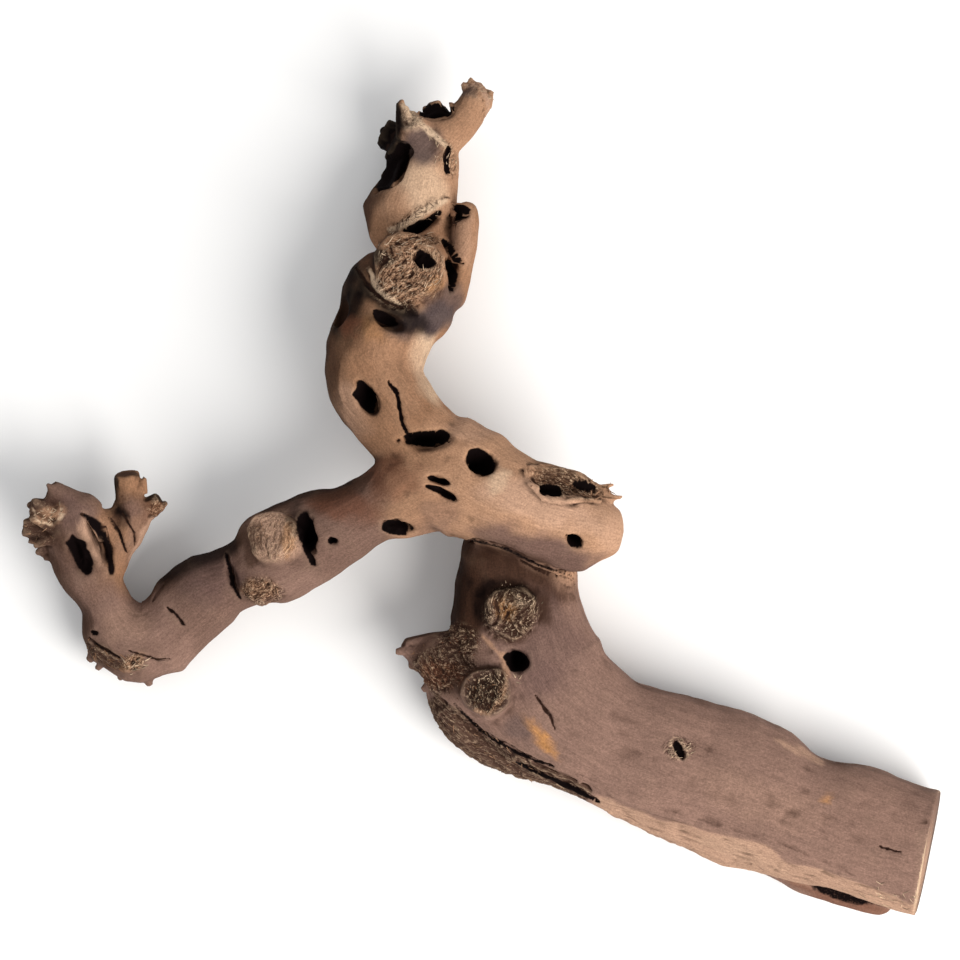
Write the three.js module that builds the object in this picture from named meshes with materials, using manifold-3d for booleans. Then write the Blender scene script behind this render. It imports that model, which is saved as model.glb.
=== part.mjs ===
// A dry, sandblasted piece of old vine root, lying flat as it rests on a shelf.
// Units are millimetres and +Z is up. The origin is the middle of the footprint, on the resting surface.
// It grew in one piece, so it is one solid: limbs and stubs are joined, then holes and saw cuts are made.
import * as THREE from "three";
import { mergeVertices } from "three/addons/utils/BufferGeometryUtils.js";
import Module from "manifold-3d";

const wasm = await Module();
wasm.setup();

// Driving dimensions
const ringGap = 7.5; // along a limb, between one ring of vertices and the next
const around = 18; // vertices in one ring of a limb
const lumpDepth = 0.025; // how far a limb swells and narrows, as a share of its radius
const facetSize = 0.5; // how far a merged facet may stray from the worked surface
const capReach = 0.7; // how far a limb's round end reaches past its last station, in half sizes
const stubSides = 12;
const hollowSides = [12, 7]; // round a knot hole, and from its top to its bottom
const cutterSize = 500; // wider than the whole root
const woodColour = 0x9a7866;

// Limbs. A station is [x, y, z, half width, half height] of the limb's section there.
const limbs = {
  trunk: {
    square: 2.9,
    stations: [
      [219, -167, 25, 28.5, 26], [187, -157, 25, 29, 26], [168, -151, 25, 29.5, 26],
      [153, -147.5, 25, 29.5, 26], [141, -144, 25, 31, 26], [128, -138, 25, 34, 26],
      [114, -130, 25, 34.5, 26], [97, -125, 25, 32.5, 26], [78, -118, 25, 31, 26],
      [60, -112, 25, 29.5, 26], [43, -102, 25, 31, 26], [30, -91, 26, 34, 26], [21, -77, 27, 35, 26],
      [18, -60, 28, 31, 25], [17, -44, 30, 29, 24], [17, -32, 33, 28, 22], [15, -19, 38, 24, 19],
    ],
  },
  shoulder: {
    stations: [
      [55, -14, 55, 14, 17], [42, -13, 56, 23, 20], [28, -8, 57, 22.5, 22], [15, -3, 58, 23, 23],
      [4, 3, 58, 24.5, 24], [-9, 9.5, 56, 27.5, 24], [-25, 8, 54, 25, 22], [-37, -1, 50, 18.5, 19],
    ],
  },
  arm: {
    stations: [
      [-20, 6, 52, 20, 19], [-38, 0, 50, 19.5, 19], [-50, -5, 47, 16, 17], [-61, -11, 44, 17, 17],
      [-71, -15, 40, 20, 18], [-83, -21.5, 37, 21.5, 18], [-95, -28, 34, 22, 18],
      [-105, -33, 30, 16, 14], [-114, -37, 26, 14.5, 14], [-123, -41.5, 23, 18.5, 17],
      [-132, -48, 20, 19.5, 18], [-141, -58.5, 18, 17, 17], [-149, -66, 17, 18, 17.5],
    ],
  },
  wrist: {
    stations: [
      [-152, -67, 17, 18, 17.5], [-162, -65, 17.5, 19, 17], [-169, -57, 18, 16, 16],
      [-172, -47, 20, 11, 15], [-177, -38, 23, 13.5, 14], [-179, -31, 26, 15, 14],
    ],
  },
  leftProng: {
    stations: [
      [-181, -32, 26, 13, 13], [-182, -24, 29, 14.5, 12], [-184, -13, 33, 15.5, 12],
      [-185, -4, 36, 13, 9],
    ],
  },
  rightProng: {
    stations: [
      [-170, -35, 23, 6.5, 9], [-166, -23, 25, 7.5, 10], [-161, -14, 27, 10, 10],
      [-158, -4, 28, 9.5, 9],
    ],
  },
  neck: {
    stations: [
      [-9, 9, 55, 20, 20], [-30, 29, 53, 20, 21], [-38, 38, 50, 20.5, 21], [-44, 46, 48, 21, 21],
      [-48, 58, 45, 23, 22], [-46.5, 68, 42, 22.5, 22], [-43.5, 76, 39, 22, 22], [-40, 85, 36, 25, 22],
      [-35.5, 93, 34, 26, 21], [-30, 101, 31, 23, 20], [-27, 110, 28, 20, 18],
    ],
  },
  crown: {
    stations: [
      [-28, 110, 25, 19, 17], [-30, 119, 22, 18.5, 18], [-32, 126, 20.5, 21, 20],
      [-32, 132, 20.5, 22, 21], [-30, 139, 21, 20, 20.5], [-28, 147, 22, 18.5, 19],
      [-27, 154, 24, 17.5, 17], [-24, 160, 26, 16, 15],
    ],
  },
};

// Short growths with round ends, on the same terms as a limb
const growths = {
  neckLobe: {
    stations: [
      [-14, 91, 30, 7, 11], [-11, 101, 31, 7, 12], [-8, 112, 31, 6, 11], [-7, 122, 31, 6, 9],
      [-6.5, 132, 31, 5.5, 7],
    ],
  },
  crownTip: {
    stations: [
      [-22, 161, 28, 11, 12], [-13, 168, 31, 9, 11], [-7, 173, 34, 8.5, 9], [-3, 178, 36, 7.5, 8.5],
      [-2, 183, 37, 6, 7],
    ],
  },
  crownWall: {
    stations: [
      [-25, 162, 24, 9, 11], [-22, 169, 26, 9, 10], [-19, 175, 27, 8, 8],
    ],
  },
  brokenKnot: {
    stations: [
      [9, -87, 28, 20, 23], [-4, -82, 29, 20, 22], [-15, -74.5, 30, 16.5, 18], [-25, -70, 31, 10, 13],
      [-32, -68, 31, 5.5, 7],
    ],
  },
  prongWeb: {
    stations: [
      [-170, -32, 24, 6, 9], [-169, -20, 27, 6.5, 9], [-171, -9, 30, 6, 8],
    ],
  },
  barkEdge: {
    stations: [
      [-18, -87, 18, 7, 15], [-16, -95, 17, 7, 16], [-11, -103, 16, 8, 16], [0, -112, 14, 9, 14],
      [16, -119, 13, 9, 13], [32, -125, 12, 7.5, 12], [48, -131, 11, 7.5, 11], [61, -136.5, 10, 6, 10],
    ],
  },
  underLayer: {
    stations: [
      [126, -163, 8, 7, 8], [142, -170, 8, 8.5, 8], [163, -178.5, 7, 9, 7], [187, -185, 7, 7.5, 7],
    ],
  },
  barkLip: {
    stations: [
      [24, 12, 62, 5, 7], [36, 9.5, 62, 5, 7], [47, 5, 60, 5, 7], [57, -1, 57, 4, 6],
    ],
  },
};

// Sawn or snapped stubs: [x, y, z] at the root and at the cut face, with the radius at each
const stubs = {
  greatKnot: { from: [-30, 103, 34], to: [-33, 104, 59], radii: [19, 16] },
  armKnot: { from: [-86, -24, 34], to: [-94, -16, 60], radii: [14, 12] },
  armScar: { from: [-98, -38, 28], to: [-99, -42, 46], radii: [9, 7] },
  trunkKnot: { from: [16, -50, 36], to: [14, -51, 58], radii: [14, 12] },
  lowerKnot: { from: [4, -88, 36], to: [3, -87, 60], radii: [13, 11.5] },
  greyStub: { from: [-23, 155, 28], to: [-31, 172, 42], radii: [10, 7] },
  crownSpike: { from: [-33, 162, 34], to: [-35.5, 181, 42], radii: [4, 1.2] },
  darkStub: { from: [-31, 161, 20], to: [-44.5, 168, 18], radii: [8, 6.5] },
  rightProngStub: { from: [-159, -6, 29], to: [-160.5, 11.5, 35], radii: [7, 5.5] },
  rightProngTwig: { from: [-155, -7, 28], to: [-146, -1, 30], radii: [6, 4.5] },
  leftProngTop: { from: [-184, -3, 36], to: [-194, 4.5, 41], radii: [6.5, 4] },
  leftProngUpper: { from: [-188, -7, 36], to: [-204, -4, 38], radii: [6.5, 4.5] },
  leftProngMiddle: { from: [-188, -14, 33], to: [-208, -13.5, 33], radii: [7, 4] },
  leftProngLower: { from: [-186, -20, 30], to: [-201, -23.5, 28], radii: [6, 3.4] },
};

// Knot holes: centre, the three half sizes, and the turn about Z in degrees
const hollows = {
  neckEye: { at: [-50, 44, 66], size: [5, 7.5, 12], turn: 28 },
  forkMouth: { at: [-22, 26, 74], size: [11, 4.5, 9], turn: 8 },
  shoulderEye: { at: [1, 16, 76], size: [6.5, 6, 13], turn: -20 },
  upperSlit: { at: [-18, 8, 76], size: [5, 1.8, 5], turn: -22 },
  lowerSlit: { at: [-15, 2, 77], size: [6, 1.8, 6], turn: -28 },
  armDish: { at: [-36, -13, 62], size: [7, 3.6, 6], turn: 0 },
  lobeEye: { at: [42, -18, 70], size: [4, 2.8, 9], turn: -20 },
  barkHollow: { at: [37, 7, 73], size: [16, 4.5, 6], turn: -10 },
  trunkEye: { at: [17, -73, 56], size: [5, 5.5, 14], turn: 10 },
  crownSlot: { at: [-24, 125, 40], size: [11, 2.6, 12], turn: 30 },
  lobeEyeTop: { at: [-8, 130, 38], size: [3.4, 4, 8], turn: 0 },
  knotGap: { at: [-13, 105, 46], size: [3, 10, 12], turn: 8 },
  bellyHollow: { at: [-40, 79, 60], size: [8, 3.8, 8], turn: -28 },
  sideHollow: { at: [-62, 83, 46], size: [4, 9, 9], turn: 0 },
  crownHollow: { at: [-38, 150, 37], size: [4.5, 11, 10], turn: -28 },
  tipHollow: { at: [-20, 175, 40], size: [9, 4, 10], turn: 0 },
  armPit: { at: [-78, -16, 56], size: [4, 9, 12], turn: 14 },
  armPore: { at: [-66, -19, 57], size: [2, 1.8, 4], turn: 0 },
  armCrease: { at: [-112, -36, 42], size: [2.6, 8, 7], turn: 18 },
  prongHollow: { at: [-183, -27, 44], size: [4.5, 8.5, 9], turn: 14 },
  prongSlot: { at: [-173, -22, 42], size: [2.2, 14, 14], turn: 24 },
};

// Saw cuts: a point on the flat face that the saw leaves, and the face's outward direction
const sawnEnd = { at: [207, -150, 25], normal: [0.965, -0.195, 0.175] };
const sideFacet = { at: [100, -150, 46], normal: [-0.26, -0.78, 0.57] };

const up = new THREE.Vector3(0, 0, 1);

// A slow swelling and narrowing, so that no limb is a plain tube
function lump(point) {
  const { x, y, z } = point;
  return 1 + lumpDepth * (Math.sin(x / 9 + z / 13) * Math.sin(y / 8 + 1) + Math.sin((x + y) / 15 + z / 6));
}

// The section's outline: 2 is an ellipse, and a higher number is squarer
function sectionPoint(cosine, sine, square) {
  const power = 2 / square;
  return [Math.sign(cosine) * Math.abs(cosine) ** power, Math.sign(sine) * Math.abs(sine) ** power];
}

// A capsule bent along the stations, with its section's width and height taken from them
function limb({ stations, square = 2 }) {
  const centre = new THREE.CatmullRomCurve3(stations.map(([x, y, z]) => new THREE.Vector3(x, y, z)));
  const halfSizes = stations.map(([, , , wide, high]) => new THREE.Vector3(wide, high, 0));
  const sizes = new THREE.CatmullRomCurve3(halfSizes);
  const length = centre.getLength();
  const rings = Math.max(3, Math.round(length / ringGap));
  const capsule = new THREE.CapsuleGeometry(1, length, 2, around, rings);
  const position = capsule.attributes.position;
  for (let i = 0; i < position.count; i++) {
    const along = position.getY(i) + length / 2;
    const share = THREE.MathUtils.clamp(along / length, 0, 1);
    const spine = centre.getPointAt(share);
    const tangent = centre.getTangentAt(share);
    const side = new THREE.Vector3().crossVectors(tangent, up).normalize();
    const rise = new THREE.Vector3().crossVectors(side, tangent);
    const size = sizes.getPoint(centre.getUtoTmapping(share));
    const radius = Math.hypot(position.getX(i), position.getZ(i));
    const [across, upward] = radius > 1e-6
      ? sectionPoint(position.getX(i) / radius, position.getZ(i) / radius, square) : [0, 0];
    const beyond = (along - share * length) * Math.min(size.x, size.y) * capReach;
    const point = spine.clone().addScaledVector(tangent, beyond);
    const swell = lump(point.clone().addScaledVector(side, across * 8).addScaledVector(rise, upward * 8));
    point.addScaledVector(side, across * radius * size.x * swell);
    point.addScaledVector(rise, upward * radius * size.y * swell);
    position.setXYZ(i, point.x, point.y, point.z);
  }
  return solidOf(capsule);
}

// A tapered stub with a slightly uneven outline and a flat end
function stub({ from, to, radii: [rootRadius, endRadius] }) {
  const start = new THREE.Vector3(...from);
  const reach = new THREE.Vector3(...to).sub(start);
  const cylinder = new THREE.CylinderGeometry(endRadius, rootRadius, reach.length(), stubSides, 2);
  const position = cylinder.attributes.position;
  for (let i = 0; i < position.count; i++) {
    const angle = Math.atan2(position.getZ(i), position.getX(i));
    const uneven = 1 + 0.07 * Math.sin(3 * angle + from[0]) + 0.05 * Math.sin(5 * angle + from[1]);
    position.setX(i, position.getX(i) * uneven);
    position.setZ(i, position.getZ(i) * uneven);
  }
  cylinder.translate(0, reach.length() / 2, 0);
  const alongY = new THREE.Vector3(0, 1, 0);
  cylinder.applyQuaternion(new THREE.Quaternion().setFromUnitVectors(alongY, reach.normalize()));
  cylinder.translate(...from);
  return solidOf(cylinder);
}

function hollow({ at, size, turn }) {
  const ball = new THREE.SphereGeometry(1, ...hollowSides);
  ball.scale(...size);
  ball.rotateZ(THREE.MathUtils.degToRad(turn));
  ball.translate(...at);
  return solidOf(ball);
}

// A block that takes away everything beyond a flat face
function beyondFace({ at, normal }) {
  const out = new THREE.Vector3(...normal).normalize();
  const box = new THREE.BoxGeometry(cutterSize, cutterSize * 2, cutterSize * 2);
  box.translate(cutterSize / 2, 0, 0);
  box.applyQuaternion(new THREE.Quaternion().setFromUnitVectors(new THREE.Vector3(1, 0, 0), out));
  box.translate(...at);
  return solidOf(box);
}

function solidOf(geometry) {
  geometry.deleteAttribute("normal");
  geometry.deleteAttribute("uv");
  const merged = mergeVertices(geometry, 1e-4);
  return new wasm.Manifold(new wasm.Mesh({
    numProp: 3,
    vertProperties: merged.attributes.position.array,
    triVerts: new Uint32Array(merged.index.array),
  }));
}

function geometryOf(solid) {
  const mesh = solid.getMesh();
  const geometry = new THREE.BufferGeometry();
  geometry.setAttribute("position", new THREE.BufferAttribute(mesh.vertProperties, 3));
  geometry.setIndex(new THREE.BufferAttribute(mesh.triVerts, 1));
  geometry.computeVertexNormals();
  return geometry;
}

function joined(solids) {
  return solids.reduce((whole, piece) => whole.add(piece));
}

function dryRoot() {
  const trunk = limb(limbs.trunk).subtract(beyondFace(sideFacet));
  const others = Object.entries(limbs).filter(([name]) => name !== "trunk").map(([, each]) => limb(each));
  const lumps = [...Object.values(growths).map(limb), ...Object.values(stubs).map(stub)];
  const grown = joined([trunk, ...others, ...lumps]);
  const ground = beyondFace({ at: [0, 0, 0], normal: [0, 0, -1] });
  return [...Object.values(hollows).map(hollow), beyondFace(sawnEnd), ground]
    .reduce((whole, cutter) => whole.subtract(cutter), grown)
    .simplify(facetSize);
}

const material = new THREE.MeshStandardMaterial({ color: woodColour, roughness: 0.85, metalness: 0 });
const geometry = geometryOf(dryRoot());
geometry.computeBoundingBox();
const middle = geometry.boundingBox.getCenter(new THREE.Vector3());
geometry.translate(-middle.x, -middle.y, 0);
const root = new THREE.Mesh(geometry, material);
root.name = "dry_root";

const part = new THREE.Group();
part.add(root);

export default part;
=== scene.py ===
import bmesh
import bpy
import numpy as np
from mathutils import Matrix, Vector
from mathutils.bvhtree import BVHTree


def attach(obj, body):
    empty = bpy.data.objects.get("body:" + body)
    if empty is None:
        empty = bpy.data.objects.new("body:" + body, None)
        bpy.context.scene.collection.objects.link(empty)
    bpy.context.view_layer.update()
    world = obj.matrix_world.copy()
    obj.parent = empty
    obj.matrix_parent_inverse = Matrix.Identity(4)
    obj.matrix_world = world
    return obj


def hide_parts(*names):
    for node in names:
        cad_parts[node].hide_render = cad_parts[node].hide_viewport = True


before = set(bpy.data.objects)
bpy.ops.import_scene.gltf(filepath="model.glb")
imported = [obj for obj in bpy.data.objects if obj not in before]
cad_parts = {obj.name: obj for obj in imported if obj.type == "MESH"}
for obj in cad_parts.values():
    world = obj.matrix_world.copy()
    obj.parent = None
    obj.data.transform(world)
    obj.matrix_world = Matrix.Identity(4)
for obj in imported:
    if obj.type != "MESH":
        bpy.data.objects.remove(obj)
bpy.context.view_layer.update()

mm = 0.001


# helpers for shaping; points are in millimetres
def smoothStep(low, high, value):
    t = np.clip((value - low) / (high - low), 0, 1)
    return t * t * (3 - 2 * t)


def latticeValue(cells, seed):
    n = (cells[:, 0] * 73856093) ^ (cells[:, 1] * 19349663) ^ (cells[:, 2] * 83492791) ^ (seed * 2654435)
    n = (n & 0x7FFFFFFF) * 48271 & 0x7FFFFFFF
    n = (n ^ (n >> 15)) * 16807 & 0x7FFFFFFF
    return ((n >> 8) & 0xFFFF) / 65535


def cloud(points, size, seed):  # soft noise from -1 to 1, with lumps about `size` apart
    grid = points / size + seed * 7.31
    base = np.floor(grid).astype(np.int64)
    part = grid - base
    part = part * part * (3 - 2 * part)
    total = np.zeros(len(points))
    for corner in range(8):
        step = np.array([corner & 1, corner >> 1 & 1, corner >> 2 & 1])
        weight = np.prod(np.where(step == 1, part, 1 - part), axis=1)
        total += weight * latticeValue(base + step, seed)
    return total * 2 - 1


def ridges(points, size, seed):  # thin raised lines between hollows, 0 to 1
    return 1 - np.clip(np.abs(cloud(points, size, seed) + 0.4 * cloud(points, size * 0.5, seed + 1)) * 1.6, 0, 1)


def ovalMask(points, spot, edge=0.25, wander=0.2):
    x, y, z, halfX, halfY, turn = spot[:6]
    angle = np.radians(turn)
    dx, dy, dz = points[:, 0] - x, points[:, 1] - y, points[:, 2] - z
    along = (dx * np.cos(angle) + dy * np.sin(angle)) / halfX
    across = (-dx * np.sin(angle) + dy * np.cos(angle)) / halfY
    away = np.sqrt(along ** 2 + across ** 2 + (dz / 20) ** 2)
    mask = np.zeros(len(points))
    near = away < 1.5 + edge
    wobble = wander * cloud(points[near], max(2.0, min(halfX, halfY) * 0.7), int(abs(x)) + 3)
    mask[near] = 1 - smoothStep(1 - edge, 1 + edge, away[near] + wobble)
    return mask


def lineDistance(points, line):  # distance, share of the line's length, and how far to its left
    best = np.full(len(points), 1e9)
    share, left = np.zeros(len(points)), np.zeros(len(points))
    flat = points[:, :2]
    for i, (a, b) in enumerate(zip(line[:-1], line[1:])):
        a, b = np.array(a, float), np.array(b, float)
        way = b - a
        t = np.clip((flat - a) @ way / (way @ way), 0, 1)
        gap = flat - a - t[:, None] * way
        far = np.linalg.norm(gap, axis=1)
        closer = far < best
        best[closer] = far[closer]
        share[closer] = (i + t[closer]) / (len(line) - 1)
        left[closer] = (way[0] * gap[closer, 1] - way[1] * gap[closer, 0]) / np.linalg.norm(way)
    return best, share, left


def lineMask(points, line, z, width, wander=0.3, taper=0.35):
    away, share, left = lineDistance(points, line)
    mask = np.zeros(len(points))
    near = (away < width * 2) & (np.abs(points[:, 2] - z) < 18)
    narrow = taper + (1 - taper) * np.sqrt(np.clip(4 * share[near] * (1 - share[near]), 0, 1))
    wobble = wander * width * cloud(points[near], width * 1.6, int(width * 10))
    mask[near] = 1 - smoothStep(0.35 * width, width, (away[near] + wobble) / narrow)
    return mask


def besideLine(points, line, reach, lowest):  # the strip on the right of a line, as it is walked
    away, share, left = lineDistance(points, line)
    wobble = 1.2 * cloud(points, 7, 31)
    mask = smoothStep(0, 1.6, -left + wobble) * (1 - smoothStep(reach - 4, reach, away))
    ends = smoothStep(0, 0.03, share) * (1 - smoothStep(0.985, 1.0, share))
    return mask * ends * smoothStep(lowest, lowest + 4, points[:, 2])


# the run of the wood: a line down the middle of each limb
grainLines = [
    [(216, -165, 25), (165, -149, 25), (130, -135, 25), (94, -123, 25), (57, -110, 25), (40, -100, 25),
     (27, -89, 26), (18, -75, 27), (14, -58, 28), (13, -42, 30), (14, -30, 33), (12, -17, 38)],
    [(52, -12, 55), (25, -6, 57), (1, 5, 58), (-11, 12, 56), (-28, 10, 54), (-40, 1, 50)],
    [(-23, 8, 52), (-41, 2, 50), (-64, -10, 44), (-86, -20, 37), (-108, -31, 30), (-126, -40, 23),
     (-144, -56, 18), (-155, -65, 17), (-165, -63, 17), (-172, -55, 18), (-175, -45, 20), (-180, -36, 23),
     (-184, -22, 29), (-187, -11, 33), (-188, -2, 36)],
    [(-173, -33, 23), (-169, -21, 25), (-164, -12, 27), (-161, -2, 28), (-163, 14, 35)],
    [(-12, 11, 55), (-33, 31, 53), (-41, 40, 50), (-47, 48, 48), (-51, 60, 45), (-49, 70, 42), (-46, 78, 39),
     (-41, 87, 36), (-38, 95, 34), (-34, 103, 31), (-31, 112, 26), (-33, 121, 22), (-35, 134, 20),
     (-33, 141, 21), (-31, 149, 22), (-30, 156, 24), (-27, 162, 26)],
    [(-25, 163, 28), (-16, 170, 31), (-10, 175, 34), (-6, 180, 36), (-5, 185, 37)],
]


def grainFrame(points):  # how far along and around its limb each point is, and the way out from the limb's middle
    best = np.full(len(points), 1e9)
    along, around = np.zeros(len(points)), np.zeros(len(points))
    outward, limb = np.zeros((len(points), 3)), np.zeros(len(points), int)
    up = np.array([0, 0, 1.0])
    for number, line in enumerate(grainLines):
        run = number * 400.0
        for a, b in zip(line[:-1], line[1:]):
            a, b = np.array(a, float), np.array(b, float)
            way = b - a
            length = np.linalg.norm(way)
            way /= length
            t = np.clip((points - a) @ way, 0, length)
            arm = points - a - t[:, None] * way
            far = np.linalg.norm(arm, axis=1)
            closer = far < best
            side = np.cross(way, up)
            side /= np.linalg.norm(side)
            best[closer] = far[closer]
            along[closer] = run + t[closer]
            around[closer] = np.arctan2(arm[closer] @ side, arm[closer] @ np.cross(side, way)) * 22
            outward[closer] = arm[closer] / (far[closer, None] + 1e-6)
            limb[closer] = number
            run += length
    return along, around, outward, limb


# camera, straight above the root
overhead = {"lens": 150, "x": -2.15, "y": 11.1, "height": 1854}
cameraData = bpy.data.cameras.new("overhead")
cameraData.lens = overhead["lens"]
cameraData.clip_end = 20
camera = bpy.data.objects.new("overhead", cameraData)
camera.location = Vector((overhead["x"], overhead["y"], overhead["height"])) * mm
bpy.context.scene.collection.objects.link(camera)
bpy.context.scene.camera = camera

# light
studio = {"world": 0.66, "key": 36.0, "keySize": 1.3, "fill": 3.0}


def areaLight(name, place, power, size, colour):
    data = bpy.data.lights.new(name, "AREA")
    data.energy = power
    data.shape = "DISK"
    data.size = size
    data.color = colour
    lamp = bpy.data.objects.new(name, data)
    lamp.location = place
    lamp.rotation_euler = (-Vector(place)).to_track_quat("-Z", "Y").to_euler()
    bpy.context.scene.collection.objects.link(lamp)
    return lamp


areaLight("keyLight", (0.95, -0.8, 1.1), studio["key"], studio["keySize"], (1.0, 0.97, 0.93))
areaLight("fillLight", (-0.9, 0.9, 1.3), studio["fill"], 1.2, (0.93, 0.96, 1.0))
world = bpy.data.worlds.new("studioAir")
bpy.context.scene.world = world
world.use_nodes = True
world.node_tree.nodes["Background"].inputs["Color"].default_value = (1, 1, 1, 1)
world.node_tree.nodes["Background"].inputs["Strength"].default_value = studio["world"]
bpy.context.scene.view_settings.view_transform = "Standard"

# floor
floorShape = bmesh.new()
bmesh.ops.create_grid(floorShape, x_segments=1, y_segments=1, size=3.0)
floorMesh = bpy.data.meshes.new("paleFloor")
floorShape.to_mesh(floorMesh)
floorShape.free()
floor = bpy.data.objects.new("paleFloor", floorMesh)
bpy.context.scene.collection.objects.link(floor)
floorPaint = bpy.data.materials.new("paleFloor")
floorPaint.use_nodes = True
floorPaint.node_tree.nodes["Principled BSDF"].inputs["Base Color"].default_value = (0.86, 0.86, 0.86, 1)
floorPaint.node_tree.nodes["Principled BSDF"].inputs["Roughness"].default_value = 0.9
floorMesh.materials.append(floorPaint)
print("studio: camera, lights and floor")


# the root's body
rootShape = {"voxel": 0.8, "soften": 20, "faces": 192000}

# tips that stay angular: x, y, z, half length, half width, turn
angular = [
    (-203, -10, 34, 15, 20, 0), (-38, 176, 38, 8, 12, 0), (-17, 180, 34, 12, 9, 0), (-3, 188, 38, 9, 8, 0),
    (-44, 168, 20, 9, 11, 0), (-168, -76, 16, 20, 9, -15), (-34, -68, 34, 9, 14, 0), (55, 6, 60, 11, 7, 0),
    (-149, -1, 32, 8, 10, 0), (-160, 11, 36, 8, 5, 0),
]

# the saw's cut across the thick end: a point on it and the way it faces
sawCut = {"at": (204.75, -147.63, 25), "facing": (0.965, -0.195, 0.175), "spare": 8.0}

# broken tips: root of the splinter, its point, and its thickness
splinters = [
    ((-190, 0, 37), (-197, 7, 42), 5.0),
    ((-190, -1, 37), (-199, 3, 41), 4.0),
    ((-193, -4, 36), (-208, 0, 37), 4.0),
    ((-193, -8, 35), (-210, -8, 36), 4.5),
    ((-196, -4, 40), (-204, 2, 44), 4.0),
    ((-196, -10, 38), (-206, -6, 43), 4.0),
    ((-195, -14, 36), (-205, -19, 38), 4.0),
    ((-190, 2, 40), (-198, 9, 44), 3.6),
    ((-193, -12, 34), (-211, -13, 33), 4.5),
    ((-192, -16, 33), (-208, -17, 32), 3.5),
    ((-190, -20, 31), (-205, -22, 29), 3.5),
    ((-188, -22, 31), (-201, -25, 29), 3.0),
    ((-36, 166, 38), (-38.5, 182, 43), 5.0),
    ((-33, 168, 40), (-36, 180, 44), 4.5),
    ((-5, 184, 37), (-10.5, 191.5, 38), 3.6),
    ((-3, 186, 37), (-7, 193.6, 38), 3.0),
    ((-3, 185, 38), (-3, 191.5, 38), 3.0),
    ((0, 180, 38), (2.6, 188, 37), 4.0),
    ((-20, 174, 28), (-22, 184, 30), 5.0),
    ((-24, 170, 26), (-28, 181, 28), 5.0),
    ((-16, 176, 28), (-15, 183, 30), 4.0),
    ((-36, 166, 20), (-48, 172, 19), 4.5),
    ((-37, 162, 18), (-48.5, 165, 16), 4.0),
    ((-176, -62, 20), (-182, -72, 14), 5.0),
    ((-170, -66, 20), (-178.5, -76, 12), 4.0),
    ((-165, -70, 18), (-168, -80.5, 12), 4.0),
    ((-158, -70, 18), (-154, -83, 14), 4.5),
    ((-24, -66, 38), (-40, -66.8, 36), 4.5),
    ((-24, -62, 36), (-36, -63, 37), 4.0),
    ((-10, -62, 42), (-15, -54, 40), 6.0),
    ((-26, -74, 30), (-35, -73.5, 30), 4.0),
    ((-22, -82, 26), (-30, -85, 24), 4.5),
    ((46, 7, 62), (58, 8.5, 60), 2.4),
    ((52, 2, 60), (62, 3.5, 58), 2.2),
    ((40, 9, 64), (49, 11.5, 66), 2.2),
    ((-151, -3, 31), (-145, 1, 34), 3.6),
    ((-164, 4, 34), (-166.5, 12, 36), 3.0),
    ((-156, 5, 34), (-154.5, 12.5, 36), 3.0),
]


def asObject(name, shape):
    mesh = bpy.data.meshes.new(name)
    shape.to_mesh(mesh)
    shape.free()
    thing = bpy.data.objects.new(name, mesh)
    bpy.context.scene.collection.objects.link(thing)
    return thing


def applied(thing):  # modifiers made part of the mesh
    depsgraph = bpy.context.evaluated_depsgraph_get()
    mesh = bpy.data.meshes.new_from_object(thing.evaluated_get(depsgraph))
    thing.modifiers.clear()
    thing.data = mesh
    return mesh


def addSplinter(shape, start, tip, thick):
    start, tip = Vector(start) * mm, Vector(tip) * mm
    way = tip - start
    place = Matrix.Translation((start + tip) / 2) @ way.to_track_quat("Z", "Y").to_matrix().to_4x4()
    bmesh.ops.create_cone(
        shape, cap_ends=True, segments=5, radius1=thick * mm, radius2=thick * 0.4 * mm, depth=way.length,
        matrix=place)


def readPoints(mesh):
    values = np.zeros(len(mesh.vertices) * 3)
    mesh.vertices.foreach_get("co", values)
    return values.reshape(-1, 3) / mm


def writePoints(mesh, points):
    mesh.vertices.foreach_set("co", (points * mm).reshape(-1))
    mesh.update()


def edgesOf(mesh):
    ends = np.zeros(len(mesh.edges) * 2, int)
    mesh.edges.foreach_get("vertices", ends)
    return ends.reshape(-1, 2)


def blurred(values, edges, rounds, share=1.0):  # each point drawn towards the middle of its neighbours
    count = np.maximum(np.bincount(edges.reshape(-1), minlength=len(values)), 1)[:, None]
    for _ in range(rounds):
        total = np.stack([
            np.bincount(edges[:, 0], values[edges[:, 1], axis], len(values))
            + np.bincount(edges[:, 1], values[edges[:, 0], axis], len(values))
            for axis in range(values.shape[1])], axis=1)
        values = values + share * (total / count - values)
    return values


def fromSawCut(points):  # distance outside the cut's plane
    facing = np.array(sawCut["facing"]) / np.linalg.norm(sawCut["facing"])
    return (points - np.array(sawCut["at"])) @ facing, facing


wood = bmesh.new()
wood.from_mesh(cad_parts["dry_root"].data)
bmesh.ops.remove_doubles(wood, verts=wood.verts, dist=1e-6)
outside, facing = fromSawCut(np.array([v.co / mm for v in wood.verts]))
endFace = [v for v, gap in zip(wood.verts, outside) if gap > -0.8]
bmesh.ops.translate(wood, verts=endFace, vec=Vector(facing) * sawCut["spare"] * mm)
for start, tip, thick in splinters:
    addSplinter(wood, start, tip, thick)
root = asObject("vineRoot", wood)
remesh = root.modifiers.new("remesh", "REMESH")
remesh.mode = "VOXEL"
remesh.voxel_size = rootShape["voxel"] * mm
mesh = applied(root)
points = readPoints(mesh)
kept = np.max([ovalMask(points, spot) for spot in angular], axis=0)
points = blurred(points, edgesOf(mesh), rootShape["soften"], 0.5 - 0.44 * kept[:, None])
print("root: shell of", len(points), "points")


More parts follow.
